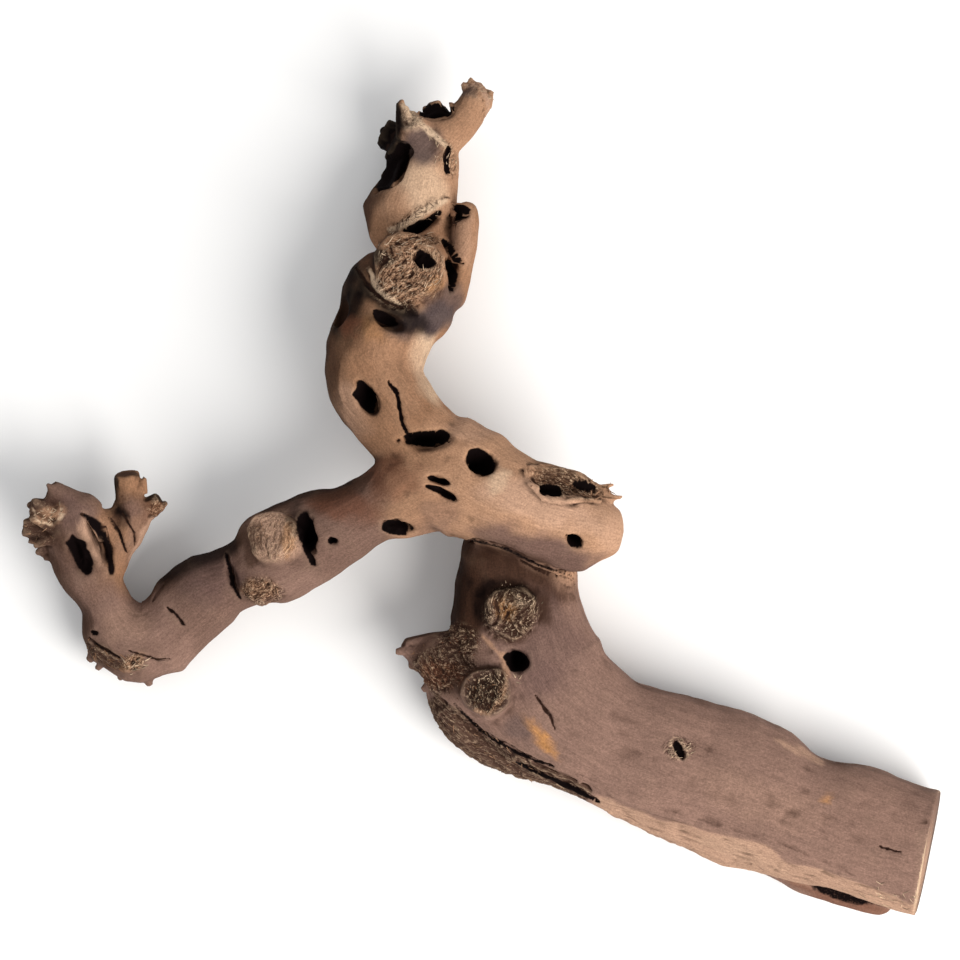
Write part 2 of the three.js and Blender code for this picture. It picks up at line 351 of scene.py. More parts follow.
# knot holes: x, y, z, half length, half width, turn in degrees, depth
holes = {
    "neckEye": (-53.4, 48.1, 55, 4.8, 7.8, 25, 8),
    "forkMouth": (-25.5, 29.8, 68, 11, 3.6, 4, 7),
    "shoulderEye": (-2.1, 19.3, 66, 8.0, 5.2, -35, 8),
    "armDish": (-39.4, -10.3, 56, 6.6, 3.8, -8, 3),
    "lobeEye": (39.5, -16.1, 65, 4.2, 2.6, -30, 5),
    "trunkEye": (14.2, -70.7, 48, 6.2, 4.6, -20, 7),
    "armPore": (-68.3, -16.2, 57, 2.1, 1.8, 0, 3),
    "armPit": (-80.0, -12.5, 50, 4.6, 9.0, 12, 6),
    "prongHollow": (-183.6, -22.6, 40, 4.4, 8.4, 27, 2.4),
    "prongHollowFoot": (-180.8, -28.6, 38, 2.6, 3.6, 10, 1.6),
    "lobeEyeTop": (-10.2, 134.0, 33, 3.8, 2.4, -25, 5),
    "lobeEyeFoot": (-11.4, 131.4, 33, 1.8, 3.6, -10, 4),
    "knotEye": (-27.0, 109.6, 58, 4.8, 4.0, -30, 4),
    "crownHollow": (-42.3, 153.2, 32, 6.0, 12.5, -35, 6),
    "tipHollow": (-22.4, 179.3, 34, 8.5, 3.4, 4, 4),
    "patchHollow": (29, 6.5, 70, 5.5, 2.6, -8, 3.5),
    "patchLoops": (44, 8.5, 66, 5.5, 2.2, -12, 3),
    "flakeEye": (87.8, -110.5, 50, 2.0, 4.2, 25, 3),
    "elbowPore": (-178, -58.5, 31, 2.0, 1.1, -15, 1.0),
}

# cracks and grooves: the line, its height, its width and its depth
cracks = {
    "neckCrack": ([(-43.2, 55.5), (-39.2, 50.1), (-37.8, 42), (-36.9, 36.6), (-34.2, 30.8)], 70, 1.4, 1.8),
    "upperSlit": ([(-25, 12.4), (-20.4, 11), (-16, 9.4)], 72, 2.2, 2.5),
    "lowerSlit": ([(-26, 8.4), (-20, 6.6), (-13, 2)], 72, 2.2, 2.5),
    "prongSlot": ([(-182, -4.4), (-178.6, -6.6), (-175.4, -10.6), (-172.4, -16.8), (-170.2, -24.6), (-169.8, -31.0)],
                  33, 3.2, 1.5),
    "webCrease": ([(-171, -6), (-166, -13), (-163, -22)], 34, 1.2, 1.2),
    "webCreaseRight": ([(-165, -4), (-159, -13), (-159, -19)], 34, 1.0, 1.0),
    "crownSlot": ([(-37, 123.6), (-31, 125.2), (-24.8, 129.4), (-20.2, 133.5)], 40, 3.0, 6),
    "upperCrescent": ([(-20, 120.9), (-15.9, 116.6), (-13.2, 111.5), (-9.5, 109.5)], 38, 2.2, 4),
    "lowerCrescent": ([(-17.1, 110.9), (-14.6, 104), (-15.6, 96)], 40, 2.8, 5),
    "bellyHollow": ([(-49.5, 87), (-45, 83.5), (-40, 81.5)], 54, 3.4, 3.5),
    "beltLine": ([(-58, 107), (-51.5, 97), (-43.5, 91), (-36, 88.5)], 50, 1.3, 1.0),
    "pitTail": ([(-81.6, -18.5), (-76.8, -27)], 52, 2.2, 2.5),
    "armCrack": ([(-144.5, -47), (-140.5, -50.1), (-136.7, -55.1)], 34, 1.3, 1.2),
    "armStep": ([(-151.5, -44), (-147, -36)], 26, 1.6, 0.8),
    "armCrease": ([(-117.5, -22.5), (-115.5, -30), (-114.6, -36), (-110.6, -43.8)], 38, 1.7, 1.6),
    "crownCracks": ([(-16.2, 162.6), (-17.6, 156.8), (-17.0, 149.8)], 36, 1.8, 2.5),
    "trunkSlit": ([(177.7, -154.2), (187.6, -156.9)], 50, 0.9, 1.0),
    "seam": ([(-12, -17.5), (-3.5, -16.1), (9.5, -19.6), (23.8, -26.9), (38.7, -32.0), (43, -36)], 62, 1.3, 1.3),
    "lowerSeam": ([(16, -25.2), (23.8, -29.3), (33, -33), (41.0, -36.6)], 56, 1.0, 0.9),
    "trunkGroove": ([(23, -86), (26.5, -91.5), (29.6, -95.3), (31.6, -101)], 52, 1.5, 0.9),
    "stripCrack": ([(14, -117), (24.1, -121.7), (38.9, -128.1), (52, -135)], 40, 1.8, 2.0),
    "barkSplit": ([(-14, -90), (-2, -103), (14, -112), (31, -118.5)], 38, 1.5, 1.5),
    "elbowSplit": ([(-181.5, -61), (-174, -66.0), (-166, -70.0)], 30, 1.2, 1.2),
    "elbowCrack": ([(-162, -66.5), (-156, -68.5), (-149, -71), (-143, -71)], 30, 1.0, 1.0),
    "underGap": ([(150, -175.5), (168, -181.0), (186, -184.5)], 16, 3.4, 1.4),
}

# raised lips round knots: the line, its height, its width and how far it stands up
lips = {
    "knotRim": ([(-51.8, 106.6), (-48.9, 98.5), (-43.4, 93.4), (-37.5, 89.6)], 54, 1.8, 1.1),
    "slotLip": ([(-43.0, 124.6), (-33.9, 128.0), (-24.4, 134.0), (-17.3, 138.4)], 40, 2.6, 1.4),
    "lowerRim": ([(-0.8, -59.5), (8.8, -69.3), (9.8, -77.6), (8.2, -86.1), (1.8, -93.7), (-3.7, -91.9)], 58, 2.2, 0.8),
    "tipRim": ([(-9.4, 189.8), (-2.6, 189.6), (1.2, 183.1), (0.4, 175.9)], 38, 1.8, 1.0),
    "stubRidge": ([(-36.6, 180.5), (-28.8, 171.7), (-21.7, 166.5), (-17.6, 162.7)], 44, 1.8, 1.2),
    "patchEdge": ([(18, 16), (20.5, 9), (26, 3.5), (34, 1), (44, 2.5), (52, 1.5)], 72, 1.6, 1.4),
    "patchCrest": ([(20, 17), (30, 15.5), (42, 12), (50, 8)], 68, 2.0, 1.4),
    "bandFoot": ([(56, -140), (75, -149), (96, -157)], 20, 1.6, 0.8),
    "bandLip": ([(42.5, -123.2), (73.8, -138.2), (100.3, -145.8), (127.0, -152.1), (154.1, -163.4), (187, -177)],
                48, 1.8, 0.7),
}

# torn, worn or spongy wood: x, y, z, half length, half width, turn, relief, strands' turn and their length
tornWood = {
    "greatKnot": (-34, 103.5, 59, 17, 15.5, 0, 1.5, 40, 2.2),
    "tornTop": (-33, 118, 50, 14, 5, 10, 1.6, 20, 2.5),
    "trunkKnot": (13, -48.5, 58, 13, 12, 0, 1.5, 70, 2.2),
    "lowerKnot": (0.6, -83.4, 60, 10, 10, 0, 1.6, 110, 2.0),
    "brokenKnot": (-20.7, -75, 44, 17, 10, 15, 1.5, -25, 2.4),
    "brokenTop": (-12, -62, 46, 11, 8, 0, 1.4, -15, 3.0),
    "armKnot": (-95.5, -14.2, 60, 12.5, 13, 0, 0.7, 80, 2.0),
    "armScar": (-101, -38.9, 46, 9, 7, 0, 1.3, 20, 2.0),
    "elbowScar": (-160, -72, 31, 5.5, 3.6, 25, 1.2, 35, 2.0),
    "elbowBark": (-174, -69, 27, 11, 4, -24, 0.7, -22, 3.2),
    "flake": (87.6, -110, 51, 7, 5, 0, 1.0, 0, 2.5),
    "barkPatch": (36, 10, 68, 18, 6.5, -13, 1.5, -12, 3.0),
    "leftTips": (-203, -8, 36, 10, 15, 0, 0.35, 10, 2.0),
    "slotEdge": (-31.5, 131.5, 40, 13, 2.8, 32, 1.0, 32, 2.6),
    "stubEnd": (-33, 174.5, 44, 4, 5.5, 40, 0.7, 60, 1.8),
    "tipEdge": (-4, 188, 38, 8, 5, -20, 0.4, 20, 2.2),
    "twigEnd": (-148, -2, 32, 5, 6, 0, 1.0, 40, 2.0),
    "crownSide": (-16, 156, 34, 4, 8, 8, 0.9, 85, 2.5),
}

# long strips of stringy wood: the line along the strip's upper side, its reach, lowest height, relief,
# tone, the tone's strength and how torn it is
stringyWood = {
    "lowerBand": ([(50, -128.6), (73.8, -140.2), (100.3, -146.8), (127.0, -153.1), (138.4, -161.4),
                   (154.1, -164.4), (176.3, -173.5), (203, -183)], 26, 13, 0.22, "rose", 0.8, 0.1),
    "barkEdge": ([(-22, -84), (-12, -92), (0, -104), (14, -110.5), (31, -118.5), (50, -128.6)], 26, 4, 1.2,
                 "umber", 0.75, 0.6),
    "prongWeb": ([(-160, 2), (-168, -3), (-171, -12), (-168, -28)], 6, 20, 0.3, "honey", 0.3, 0.15),
}


def strandsOf(points, at, turn, length, seed):  # coordinates that run along torn strands
    local = points - np.array(at)
    angle = np.radians(turn) + 0.9 * cloud(points, 13, seed)
    along = local[:, 0] * np.cos(angle) + local[:, 1] * np.sin(angle)
    across = -local[:, 0] * np.sin(angle) + local[:, 1] * np.cos(angle)
    return np.stack([along / length, across, local[:, 2]], axis=1)


def tornRelief(strands, seed):
    threads = 0.8 * ridges(strands, 3.4, seed) + 0.45 * ridges(strands, 1.7, seed + 4)
    return threads + 0.5 * cloud(strands, 5, seed) - 0.7


def sculpted(points):
    along, around, outward = grainFrame(points)[:3]
    grain = np.stack([along / 9, around, np.zeros(len(points))], axis=1)
    shift = 0.8 * cloud(points, 19, 5) + 0.45 * cloud(points, 9, 9) + 0.14 * cloud(points, 4, 15)
    shift += 0.16 * cloud(grain, 2.6, 11)
    for seed, spot in enumerate(tornWood.values()):
        mask = ovalMask(points, spot)
        near = mask > 0
        strands = strandsOf(points[near], spot[:3], spot[7], spot[8], seed)
        shift[near] += mask[near] * spot[6] * tornRelief(strands, seed + 40)
    for line, reach, lowest, relief, *finishing in stringyWood.values():
        mask = besideLine(points, line, reach, lowest)
        near = mask > 0
        away, share, left = lineDistance(points[near], line)
        strings = np.stack([share * 30, left, points[near, 2] * 0.8], axis=1)
        shift[near] += mask[near] * relief * (1.3 * ridges(strings, 2.4, 61) - 1.2)
    for line, z, width, height in lips.values():
        broken = 0.6 + 0.6 * cloud(points, 3.2, 17)
        shift += height * lineMask(points, line, z, width) * broken
    for spot in holes.values():
        shift -= spot[6] * ovalMask(points, spot, edge=0.2, wander=0.25)
    for line, z, width, depth in cracks.values():
        shift -= depth * lineMask(points, line, z, width)
    outside, facing = fromSawCut(points)
    nearCut = smoothStep(-1.5, 0.5, outside)
    points = points + outward * (shift * (1 - nearCut))[:, None]
    outside, facing = fromSawCut(points)
    points -= np.clip(outside, 0, None)[:, None] * facing
    points[:, 2] = np.clip(points[:, 2], 0, None)
    return points


writePoints(mesh, sculpted(points))
print("root: lumps, knots, holes and cracks cut")

decimate = root.modifiers.new("decimate", "DECIMATE")
decimate.ratio = min(1.0, rootShape["faces"] / (len(mesh.polygons) * 2))
mesh = applied(root)
print("root:", len(mesh.polygons), "faces")

# tones of the wood
tones = {
    "grey": (0.214, 0.128, 0.099), "ash": (0.158, 0.093, 0.071), "mauve": (0.116, 0.068, 0.058),
    "slate": (0.074, 0.052, 0.050), "tan": (0.375, 0.212, 0.128), "honey": (0.270, 0.142, 0.080),
    "rose": (0.430, 0.265, 0.182), "cream": (0.620, 0.450, 0.310), "umber": (0.045, 0.021, 0.013),
    "black": (0.004, 0.002, 0.002), "rust": (0.140, 0.052, 0.028), "orange": (0.420, 0.200, 0.075),
}
limbTones = ["grey", "tan", "ash", "honey", "honey", "tan"]

# patches of another tone, some of them painted shade or painted highlight: x, y, z, half length, half width, turn,
# tone and strength
patches = {
    "crownBody": (-30, 140, 38, 18, 18, 0, "tan", 0.9),
    # painted highlight on the crown's lit middle and the neck's lit right side
    "crownHighlight": (-28, 144, 39, 11, 13, 20, "cream", 0.5),
    "neckRightHighlight": (-26, 62, 48, 8, 20, 12, "cream", 0.7),
    "neckMiddle": (-38, 62, 62, 12, 20, 12, "tan", 0.35),
    "forkRight": (-14, 33, 66, 12, 12, 0, "tan", 0.5),
    "lobeSide": (-10, 122, 38, 6, 14, 0, "rose", 0.4),
    "yellowBump": (-48.3, 79.5, 62, 6, 6, 0, "orange", 0.35),
    # painted highlight on the shoulder's lit top
    "shoulderHighlight": (26, 0, 78, 26, 9, -14, "rose", 0.75),
    "shoulderEnd": (56, -10, 60, 9, 13, 10, "rose", 0.45),
    "shoulderGlint": (6, 11, 80, 4, 6, -30, "cream", 0.5),
    "armNearFork": (-28, -2, 70, 16, 8, 10, "honey", 0.4),
    "shoulderShade": (26, -21, 68, 31, 9.5, -22, "mauve", 0.9),
    "shoulderShadeLeft": (4, -14, 76, 10, 4, -10, "ash", 0.6),
    "trunkTopShade": (12, -31, 58, 32, 11, -24, "umber", 0.95),
    "trunkLeftShade": (-6, -44, 48, 11, 22, -8, "umber", 1.0),
    # painted shade on the trunk's upper part, below the shoulder
    "trunkUpperShade": (26, -62, 52, 18, 24, 10, "mauve", 0.6),
    "trunkUnderKnot": (22, -76, 52, 14, 9, -20, "mauve", 0.5),
    "trunkRight": (170, -140, 50, 30, 20, -16, "ash", 0.35),
    "trunkRose": (120, -132, 50, 30, 10, -18, "rose", 0.12),
    "orangeRidge": (26, -105.5, 51, 10, 3.0, -52, "orange", 0.95),
    "slateBark": (14, -101, 50, 8, 6, -40, "slate", 0.55),
    "forkShade": (-40, 12, 70, 16, 9, -10, "rust", 0.55),
    "armRoot": (-64, 0, 56, 16, 8, -15, "rust", 0.65),
    "armRootSide": (-56, -14, 56, 10, 8, 0, "ash", 0.5),
    "armMiddle": (-122, -32, 36, 12, 10, -30, "mauve", 0.6),
    # painted light on the arm's lower side, which faces the key light
    "armLowLit": (-82, -36, 40, 18, 8, -20, "grey", 0.8),
    "elbow": (-160, -52, 34, 18, 14, 0, "grey", 1.0),
    "elbowTop": (-164, -54, 36, 12, 9, 0, "rose", 0.2),
    "armShade": (-130, -39, 32, 13, 6, -35, "mauve", 0.5),
    "elbowLit": (-143, -70, 24, 12, 8, 30, "grey", 0.8),
    "elbowDark": (-174, -70, 27, 12, 5, -24, "umber", 0.7),
    "elbowChip": (-160, -72, 31, 5, 3.2, 25, "tan", 0.8),
    "wristLight": (-186, -30, 34, 8, 10, 0, "grey", 0.3),
    "prongTop": (-189, -3, 42, 12, 7, -20, "mauve", 0.6),
    "prongStrip": (-177.5, -17, 38, 4.0, 12, 22, "rose", 0.85),
    "web": (-170, -12, 36, 5, 10, 10, "honey", 0.7),
    "twig": (-150, -3, 33, 6, 7, 0, "rust", 0.5),
    "stubFace": (-162, -1, 36, 7, 5, 0, "mauve", 0.6),
    "stubGold": (-162.5, 8.5, 38, 6, 4, 0, "honey", 0.45),
    # painted shade on the crown's upward-facing bulge
    "bulgeShade": (-30, 163, 43, 9, 10.5, 25, "slate", 0.9),
    "stubEnd": (-34, 174.5, 44, 4.5, 6.5, 40, "cream", 0.6),
    # painted shade: the left stub, the crown hollow and the spike's left side darkened to black
    "blockShade": (-44, 164, 22, 9, 13, 0, "black", 1.0),
    "crownHollowShade": (-43, 156, 28, 7, 9, -20, "black", 1.0),
    "spikeShade": (-40, 174, 36, 2.6, 10, 0, "black", 0.9),
    "tipInner": (-7, 187, 40, 4, 3, 0, "slate", 0.6),
    "tipBody": (-8, 176, 40, 9, 9, 30, "honey", 0.4),
    "greatKnot": (-34, 103.5, 59, 17, 15.5, 0, "tan", 0.7),
    # painted shade on the great knot's upper left side
    "knotTopLeftShade": (-48, 111.5, 58, 7, 4, -20, "black", 1.0),
    "knotRight": (-21, 104, 56, 4, 9, 0, "tan", 0.5),
    "knotLowRight": (-21, 97, 56, 4.5, 5, 0, "orange", 0.55),
    "beltShade": (-26, 83.5, 50, 19, 7, 12, "slate", 1.0),
    # painted shade on the neck's upper left side
    "neckUpperLeftShade": (-61, 88, 44, 14, 18, -12, "black", 0.95),
    "neckMottleRust": (-60, 80, 46, 5, 6, 30, "rust", 0.6),
    "trunkKnot": (13, -48.5, 58, 12, 11, 0, "umber", 0.85),
    "trunkKnotChips": (10, -46, 58, 5, 6, -20, "orange", 0.55),
    "trunkKnotPale": (14, -43.5, 58, 5, 2.6, 0, "cream", 0.5),
    "trunkKnotLeft": (2.5, -50, 56, 2.6, 6, 0, "ash", 0.8),
    "lowerKnot": (0.6, -83.4, 60, 10, 10, 0, "black", 1.0),
    "brokenKnot": (-21, -73, 44, 20, 14, 15, "umber", 0.75),
    "brokenRust": (-22, -77, 44, 12, 6, 15, "rust", 0.8),
    "armKnot": (-95.5, -14.2, 60, 12, 12.5, 0, "rose", 0.95),
    "armKnotSide": (-88, -15, 56, 3, 8, 0, "orange", 0.5),
    "armScar": (-101, -38.9, 46, 8, 6, 0, "honey", 0.7),
    "barkPatch": (36, 10, 68, 18, 6.5, -13, "umber", 0.75),
    "leftTips": (-203, -8, 36, 12, 15, 0, "umber", 0.8),
    "tipScar": (-197.5, -5, 42, 7, 4, 15, "tan", 0.8),
    "paleFleck": (154.3, -133.5, 51, 1.8, 2.4, 20, "orange", 0.6),
    "fibreWrinkle": (96, -112, 51, 8, 5, 0, "ash", 0.5),
    "hump": (-6, 34, 62, 10, 9, 0, "rose", 0.45),
    "neckLowLeft": (-61, 43, 52, 9, 13, 20, "rose", 0.55),
    "shoulderLeft": (-20, -3, 72, 10, 6, 0, "ash", 0.4),
    "stubShade": (-160, 3, 38, 6, 3, 0, "umber", 0.35),
    "prongRight": (-162, -12, 34, 10, 14, 10, "ash", 0.6),
    "prongLight": (-167, -10, 36, 4, 9, 15, "honey", 0.7),
    "hollowShade": (-184, -22, 40, 6.5, 11, 27, "umber", 0.6),
    "prongFoot": (-166, -6, 30, 5, 6, 0, "umber", 0.8),
    "prongLeft": (-193, -30, 34, 6, 10, 20, "umber", 0.45),
    "wristShade": (-176, -40, 36, 8, 10, 0, "ash", 0.4),
    # painted shadow round the upper left of the trunk knot
    "knotShadowTop": (10, -38.5, 54, 15, 4.5, -8, "black", 0.85),
    "knotShadowLeft": (-1.5, -47, 54, 4, 9, 10, "black", 0.85),
    "knotBandRight": (27, -47, 54, 3.5, 7, 0, "umber", 0.7),
    "armKnotShade": (-84.5, -8, 52, 5, 8, 15, "black", 0.7),
    "bellyShade": (-38, 83, 54, 13, 5, -12, "black", 0.8),
    # painted shade continuing the belt below the great knot
    "beltShadeRight": (-17, 91, 46, 9, 9, 0, "slate", 0.8),
}

# strips of another tone, some of them painted shade or painted highlight: the line, its height, its width, tone and
# strength
strips = {
    # painted shade along the left edges of the neck and crown
    "neckLeftEdgeShade": ([(-66, 102), (-72, 85), (-74, 66), (-74, 50), (-70, 34), (-60, 20)], 42, 10, "umber", 0.95),
    "crownLeftShade": ([(-53, 124), (-54, 136), (-51, 146), (-47, 154)], 32, 10, "umber", 0.8),
    # painted shade along the arm's upper edges
    "armTopShade": ([(-150, -40), (-146, -33), (-136, -25), (-124, -21), (-112, -17)], 32, 8, "black", 0.8),
    "armNearTopShade": ([(-112, -17), (-104, -12), (-106, -26)], 46, 6, "umber", 0.7),
    "armRootTopShade": ([(-90, 4), (-76, 9), (-62, 10), (-50, 12)], 44, 8, "umber", 0.7),
    "hookLeft": ([(-200, -24), (-194, -36), (-184, -50), (-182, -62)], 30, 6, "umber", 0.6),
    # painted shade on the stub's left side
    "stubLeftShade": ([(-168, 9), (-168, 3), (-166.5, -3), (-161, -6)], 32, 6, "black", 0.95),
    "stubTop": ([(-168, 13.2), (-162, 14.2), (-155.5, 12.8)], 34, 1.8, "umber", 0.95),
    "twigTop": ([(-154, 2.5), (-149, 4), (-145.5, 1)], 33, 2.2, "black", 0.8),
    "twigRim": ([(-144.6, 1), (-145.2, -3), (-147, -7)], 32, 1.6, "rust", 0.9),
    # painted shade: a black band along the left of the great knot's belt
    "beltBlackShade": ([(-60, 109), (-54, 98), (-45, 90), (-30, 85)], 50, 6.5, "black", 0.95),
    "knotRim": (lips["knotRim"][0], 54, 1.8, "cream", 0.85),
    "slotLip": ([(-43.0, 124.6), (-33.9, 128.4), (-24.4, 134.4), (-17.3, 138.4)], 40, 3.0, "cream", 0.7),
    "lowerRim": (lips["lowerRim"][0], 58, 2.4, "tan", 0.6),
    "tipRim": ([(-9.4, 190.4), (-2.6, 190.4), (1.8, 183.1), (1.2, 175.9)], 36, 1.6, "rose", 0.8),
    "stubRidge": (lips["stubRidge"][0], 44, 2.2, "cream", 0.7),
    "webEdge": ([(-151, -5), (-155.4, -14.5), (-161.4, -25.4)], 32, 2.6, "rose", 0.7),
    "trunkTopEdge": ([(132, -106.5), (144.4, -112.6), (154.2, -117.8)], 43, 2.4, "rose", 0.6),
    "endTop": ([(200, -121), (206, -128)], 40, 4, "honey", 0.6),
    # painted highlight on the band that faces the key light, over its pale wood
    "bandHighlight": ([(98, -152), (118, -160), (138, -168)], 30, 7, "cream", 0.35),
    # painted shade below the shoulder's seam
    "underSeamShade": ([(-12, -21), (-3, -21), (9, -25), (23, -34), (40, -42)], 55, 5, "umber", 0.5),
    "underLayer": ([(132, -168.5), (150, -178), (168, -184.5), (191, -190)], 8, 6, "rust", 0.6),
    # painted shade along the left edges of the trunk and neck and the arm root's upper edge
    "trunkLeftEdgeShade": ([(-14, -24), (-15, -40), (-14, -54)], 40, 8, "black", 0.6),
    "neckTopLeftShade": ([(-58, 110), (-66, 100), (-70, 88)], 42, 8, "black", 0.7),
    "armRootEdgeShade": ([(-106, -2), (-92, 3), (-76, 9), (-62, 10)], 42, 5, "black", 0.6),
    "prongSlot": (cracks["prongSlot"][0], 33, 2.6, "black", 1.0),
    "scarRim": ([(-204.5, -2), (-203, -7), (-197, -9), (-191.5, -6), (-192, -1.5)], 40, 0.8, "cream", 0.8),
    # painted shade on the crown's left stub and the spike's left side
    "crownStubShade": ([(-46.5, 178), (-45.5, 168), (-44.5, 158)], 34, 10, "black", 1.0),
    "spikeLeftShade": ([(-40.6, 186), (-40.4, 176), (-39.4, 164)], 38, 3.8, "black", 1.0),
}

# painted shade on the sides that face away from the key light: the way they face, and how dark they go
paintedSideShade = {"facing": (-0.72, 0.60, -0.35), "from": 0.1, "to": 0.8, "strength": 0.95}


def blend(paint, mask, tone, strength=1.0):
    share = (mask * strength)[:, None]
    return paint * (1 - share) + np.array(tones[tone]) * share


def painted(points, normals, limb, edges):
    paint = blurred(np.array([tones[limbTones[number]] for number in limb]), edges, 40)
    # painted shade: points whose surface faces away from the key light are darkened towards umber
    awayFromKey = normals @ (np.array(paintedSideShade["facing"]) / np.linalg.norm(paintedSideShade["facing"]))
    awayFromKey += 0.18 * cloud(points, 9, 71)
    paint = blend(paint, smoothStep(paintedSideShade["from"], paintedSideShade["to"], awayFromKey), "umber", paintedSideShade["strength"])
    for spot in patches.values():
        paint = blend(paint, ovalMask(points, spot, edge=0.4, wander=0.35), spot[6], spot[7])
    for line, z, width, tone, strength in strips.values():
        paint = blend(paint, lineMask(points, line, z, width, wander=0.5), tone, strength)
    return paint


def finishValues(mesh):  # what the finish follows, kept on the points
    points, edges = readPoints(mesh), edgesOf(mesh)
    along, around, outward, limb = grainFrame(points)
    normals = np.zeros(len(mesh.vertices) * 3)
    mesh.vertex_normals.foreach_get("vector", normals)
    normals = normals.reshape(-1, 3)
    outside, facing = fromSawCut(points)
    sawn = smoothStep(-0.5, -0.1, outside) * smoothStep(0.7, 0.9, normals @ facing)

    torn = np.zeros(len(points))
    strands = np.stack([along / 6, around, np.zeros(len(points))], axis=1)
    for seed, spot in enumerate(tornWood.values()):
        mask = ovalMask(points, spot) * min(1, spot[6] / 1.2)
        near = mask > torn
        strands[near] = strandsOf(points[near], spot[:3], spot[7], spot[8], seed) + seed * 50
        torn = np.maximum(torn, mask)
    paint = painted(points, normals, limb, edges)
    for line, reach, lowest, relief, tone, strength, share in stringyWood.values():
        mask = besideLine(points, line, reach, lowest)
        paint = blend(paint, mask, tone, strength)
        near = mask > torn
        away, run, left = lineDistance(points[near], line)
        strands[near] = np.stack([run * 18, left, points[near, 2]], axis=1)
        torn = np.maximum(torn, mask * share)
    ring = np.linalg.norm(points - np.array(sawCut["at"]), axis=1)
    strands[sawn > 0.5] = np.stack([ring, ring * 0, ring * 0], axis=1)[sawn > 0.5]
    torn = np.maximum(torn, sawn * 0.5)
    paint = blend(paint, sawn, "cream", 1.0)

    # painted shade: holes and cracks, kept as the hollow value that the finish darkens to near black
    dark = np.zeros(len(points))
    for spot in holes.values():
        dark = np.maximum(dark, ovalMask(points, spot, edge=0.22, wander=0.25))
    for line, z, width, depth in cracks.values():
        dark = np.maximum(dark, lineMask(points, line, z, width) * min(1, depth / 2.2))
    # how far each point stands out or sinks in, finely and broadly; the finish paints sunk places darker as painted
    # shade and raised torn places paler as painted highlight
    fine = ((points - blurred(points, edges, 4)) * normals).sum(1)
    broad = ((points - blurred(points, edges, 30)) * normals).sum(1)
    return {
        "tone": np.hstack([paint, np.ones((len(points), 1))]), "torn": torn, "strands": strands, "hollow": dark,
        "fine": np.clip(fine / 0.5, -1, 1), "broad": np.clip(broad / 1.5, -1, 1),
        "grain": np.stack([along, around, np.zeros(len(points))], axis=1),
    }


def store(mesh, name, values):
    size = 1 if values.ndim == 1 else values.shape[1]
    kind, field = {1: ("FLOAT", "value"), 3: ("FLOAT_VECTOR", "vector"), 4: ("FLOAT_COLOR", "color")}[size]
    layer = mesh.attributes.new(name, kind, "POINT")
    layer.data.foreach_set(field, values.astype(np.float32).reshape(-1))


for name, values in finishValues(mesh).items():
    store(mesh, name, values)
mesh.shade_smooth()
print("root: tones laid on")

# loose fibres: x, y, half length, half width of the tuft, turn, count, fibre length, thickness, tone, lift
tufts = {
    "greatKnot": (-35, 102, 13, 11, 35, 90, 2.4, 0.2, "cream", 0.15),
    "knotTop": (-36, 117, 12, 4, 15, 26, 3.0, 0.24, "cream", 0.2),
    "slotLip": (-31, 129, 13, 2.5, 32, 26, 2.6, 0.22, "cream", 0.2),
    "trunkKnot": (12, -49, 11, 10, 60, 70, 1.7, 0.2, "cream", 0.2),
    "lowerKnot": (1, -84, 9, 9, 120, 26, 1.6, 0.18, "honey", 0.15),
    "brokenKnot": (-20, -75, 15, 9, -20, 34, 2.4, 0.2, "honey", 0.2),
    "brokenTop": (-12, -62, 9, 6, -10, 20, 2.4, 0.18, "rust", 0.1),
    "barkEdge": (4, -111, 24, 5, -36, 30, 4.0, 0.22, "tan", 0.06),
    "bandEnd": (182, -177, 14, 5, -22, 30, 3.6, 0.2, "cream", 0.05),
    "armKnot": (-96, -15, 8, 9, 75, 18, 2.2, 0.18, "tan", 0.15),
    "armScar": (-101, -39, 7, 5, 20, 26, 3.0, 0.24, "tan", 0.15),
    "elbowChip": (-159, -73, 5, 3, 30, 16, 3.0, 0.33, "cream", 0.3),
    "elbowBark": (-172, -69, 13, 4, -22, 30, 3.4, 0.24, "honey", 0.1),
    "barkPatch": (35, 10, 15, 4.5, -12, 50, 2.4, 0.2, "honey", 0.12),
    "patchEnd": (52, 5, 5, 3, 15, 20, 4.5, 0.33, "tan", 0.4),
    "leftTips": (-202, -9, 8, 11, 178, 12, 3.0, 0.24, "tan", 0.15),
    "tipScar": (-197, -5, 6, 3.5, 20, 24, 2.4, 0.22, "cream", 0.15),
    "flake": (88, -110, 6, 4, 10, 20, 2.0, 0.2, "cream", 0.15),
    "stubEnd": (-34, 174, 3.5, 5, 60, 18, 1.8, 0.2, "cream", 0.2),
    "stubRidge": (-25, 168, 8, 2, -45, 20, 2.4, 0.2, "cream", 0.2),
    "tipRim": (-2, 188, 5, 4, -60, 16, 2.2, 0.2, "cream", 0.3),
    "yellowFibre": (-19, 180, 3, 2, 50, 26, 2.2, 0.26, "orange", 0.3),
    "crownSide": (-15, 156, 3, 8, 80, 18, 2.2, 0.2, "cream", 0.1),
    "lowerRim": (8, -78, 2, 9, 90, 16, 2.2, 0.2, "cream", 0.15),
}


